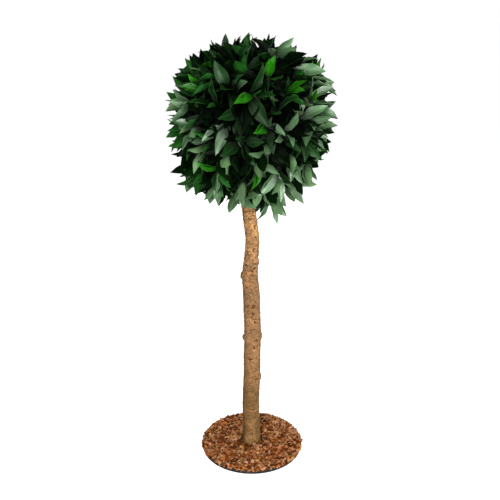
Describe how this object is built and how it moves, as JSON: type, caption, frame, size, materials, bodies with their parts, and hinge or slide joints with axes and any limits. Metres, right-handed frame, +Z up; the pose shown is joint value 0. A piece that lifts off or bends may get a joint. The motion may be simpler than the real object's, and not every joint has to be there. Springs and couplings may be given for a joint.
{
  "type": "artificial standard bay topiary",
  "caption": "Artificial bay tree trained as a standard: a natural wavy wood stem, a clipped ball of pointed leaves and a low round dish of bark chips as its foot.",
  "frame": {"origin": "centre of the round dish's flat underside, on the ground", "axes": "+Z up along the stem, -Y towards the front that the picture shows, +X to the right seen from the front"},
  "size_m": [0.4927, 0.4966, 1.3656],
  "materials": {
    "dish_black": "satin black paint",
    "bark_chips": "rough, loose chips in orange-brown, pinkish tan and dark brown",
    "stem_wood": "matt tan bark with darker streaks, knots and scars",
    "leaf_green": "satin dark green with a paler underside, a few leaves fresh green"
  },
  "bodies": {
    "root": {"base_dish": "dish_black", "bark_bed": "bark_chips", "trunk": "stem_wood", "bough_top": "stem_wood", "bough_upper_1": "stem_wood", "bough_upper_2": "stem_wood", "bough_upper_3": "stem_wood", "bough_upper_4": "stem_wood", "bough_upper_5": "stem_wood", "bough_lower_1": "stem_wood", "bough_lower_2": "stem_wood", "bough_lower_3": "stem_wood", "bough_lower_4": "stem_wood", "bough_lower_5": "stem_wood", "foliage_top": "leaf_green", "foliage_upper_1": "leaf_green", "foliage_upper_2": "leaf_green", "foliage_upper_3": "leaf_green", "foliage_upper_4": "leaf_green", "foliage_upper_5": "leaf_green", "foliage_lower_1": "leaf_green", "foliage_lower_2": "leaf_green", "foliage_lower_3": "leaf_green", "foliage_lower_4": "leaf_green", "foliage_lower_5": "leaf_green"}
  },
  "joints": []
}
